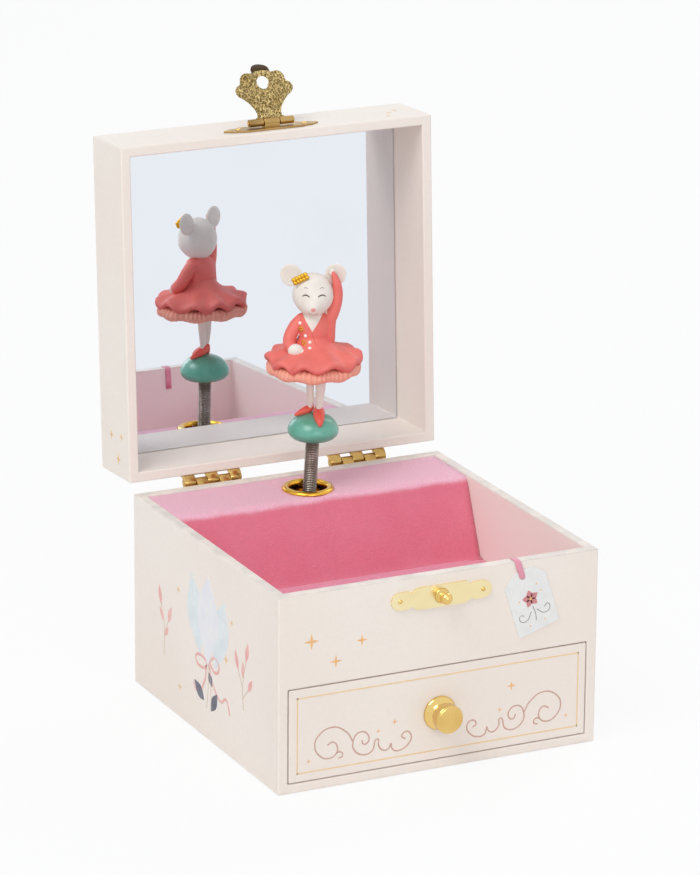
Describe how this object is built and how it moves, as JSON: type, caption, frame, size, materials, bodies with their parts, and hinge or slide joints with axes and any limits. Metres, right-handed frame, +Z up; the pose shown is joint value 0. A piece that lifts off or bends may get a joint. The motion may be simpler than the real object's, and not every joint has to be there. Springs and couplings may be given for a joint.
{
  "type": "musical jewellery box",
  "caption": "Square musical jewellery box with a mirror lid, toggle hasp, felt tray and drawer; a dancer on a spring turns in front of the mirror and folds down as the lid closes.",
  "frame": {"origin": "centre of the case's flat underside, which rests on the table", "axes": "+X to the object's right seen from the front, +Y to its back (hinges and key), +Z up; lid shown open"},
  "size_m": [0.115, 0.1556, 0.2037],
  "materials": {
    "painted_board": "satin cream paint over fibreboard, printed ornament",
    "raw_board": "bare fibreboard",
    "floor_felt": "short pile felt",
    "ledge_felt": "short pile felt",
    "polished_brass": "polished",
    "nail_brass": "polished, domed heads",
    "hinge_brass": "bright drawn",
    "antique_brass": "aged, stippled",
    "ribbon": "satin ribbon",
    "tag_paper": null,
    "movement_zinc": "die cast",
    "bright_steel": "bright",
    "movement_brass": "turned",
    "collar_bronze": "aged",
    "mirror_glass": "silvered glass",
    "dome_enamel": "glossy paint over moulded resin",
    "figure_resin": "hand painted moulded resin"
  },
  "bodies": {
    "case": {"left_wall": "painted_board", "right_wall": "painted_board", "back_wall": "painted_board", "front_panel": "painted_board", "bottom_board": "raw_board", "tray_board": "raw_board", "tray_felt": "floor_felt", "movement_cover": "ledge_felt", "ferrule": "polished_brass", "catch_plate": "polished_brass", "catch_stud": "polished_brass", "catch_nails": "nail_brass", "case_hinge_leaves": "hinge_brass", "case_hinge_nails": "nail_brass", "tag_ribbon": "ribbon", "paper_tag": "tag_paper", "key_bush": "hinge_brass", "movement_plate": "movement_zinc", "front_bridge": "movement_zinc", "bridge_pillars": "movement_zinc", "comb_block": "movement_zinc", "comb": "bright_steel", "comb_screws": "nail_brass", "governor_bracket": "movement_zinc", "spring": "bright_steel"},
    "lid": {"lid_left": "painted_board", "lid_right": "painted_board", "lid_front": "painted_board", "lid_back": "painted_board", "lid_top": "painted_board", "mirror": "mirror_glass", "lid_hinge_leaves": "hinge_brass", "lid_hinge_nails": "nail_brass", "hinge_pins": "hinge_brass", "hasp_base": "antique_brass", "hasp_nails": "nail_brass", "hasp_pin": "hinge_brass"},
    "hasp": {"hasp": "antique_brass"},
    "drawer": {"drawer_front": "painted_board", "drawer_left": "raw_board", "drawer_right": "raw_board", "drawer_back": "raw_board", "drawer_bottom": "raw_board", "drawer_felt": "floor_felt", "knob": "polished_brass", "knob_screw": "bright_steel"},
    "winding_key": {"winding_key": "hinge_brass", "winding_arbor": "bright_steel"},
    "spring_barrel": {"spring_barrel": "movement_brass"},
    "drum": {"music_drum": "movement_brass", "drum_shaft": "bright_steel"},
    "spindle": {"output_spindle": "movement_brass"},
    "governor": {"governor_fly": "bright_steel"},
    "figure_tilt": {"spring_collar": "collar_bronze"},
    "dancer": {"dome": "dome_enamel", "dancer": "figure_resin"}
  },
  "joints": [
    {"name": "lid_hinge", "type": "hinge", "parent": "case", "child": "lid", "pos_m": [0, 0.06, 0.06735], "axis": [1, 0, 0], "range_deg": [0, 92.86]},
    {"name": "hasp_hinge", "type": "hinge", "parent": "lid", "child": "hasp", "pos_m": [0, 0.07202, 0.1867], "axis": [1, 0, 0], "range_deg": [-54, 116]},
    {"name": "drawer_slide", "type": "slide", "parent": "case", "child": "drawer", "axis": [0, -1, 0], "range_m": [0, 0.075]},
    {"name": "key_turn", "type": "hinge", "parent": "case", "child": "winding_key", "pos_m": [-0.0149, 0.06, 0.0505], "axis": [0, 1, 0], "continuous": true},
    {"name": "barrel_turn", "type": "hinge", "parent": "case", "child": "spring_barrel", "pos_m": [-0.0149, 0.04, 0.0505], "axis": [0, 1, 0], "continuous": true},
    {"name": "drum_turn", "type": "hinge", "parent": "case", "child": "drum", "pos_m": [-0.0006, 0.04, 0.0505], "axis": [0, 1, 0], "continuous": true},
    {"name": "spindle_turn", "type": "hinge", "parent": "case", "child": "spindle", "pos_m": [-0.0006, 0.0394, 0.06], "axis": [0, 0, 1], "continuous": true},
    {"name": "governor_turn", "type": "hinge", "parent": "case", "child": "governor", "pos_m": [0.0084, 0.0491, 0.05], "axis": [0, 0, 1], "continuous": true},
    {"name": "figure_fold", "type": "hinge", "parent": "case", "child": "figure_tilt", "pos_m": [0, 0.0354, 0.0685], "axis": [1, 0, 0], "range_deg": [0, 99.4], "deforming": ["spring"]},
    {"name": "dancer_turn", "type": "hinge", "parent": "figure_tilt", "child": "dancer", "pos_m": [0.0007, 0.0394, 0.1], "axis": [0, 0, 1], "continuous": true}
  ],
  "couplings": [
    {"joint": "figure_fold", "follows": "lid_hinge", "ratio": 1.07},
    {"joint": "drum_turn", "follows": "barrel_turn", "ratio": -2.7143},
    {"joint": "spindle_turn", "follows": "barrel_turn", "ratio": 3.619},
    {"joint": "dancer_turn", "follows": "barrel_turn", "ratio": 3.619},
    {"joint": "governor_turn", "follows": "barrel_turn", "ratio": -40.714}
  ]
}
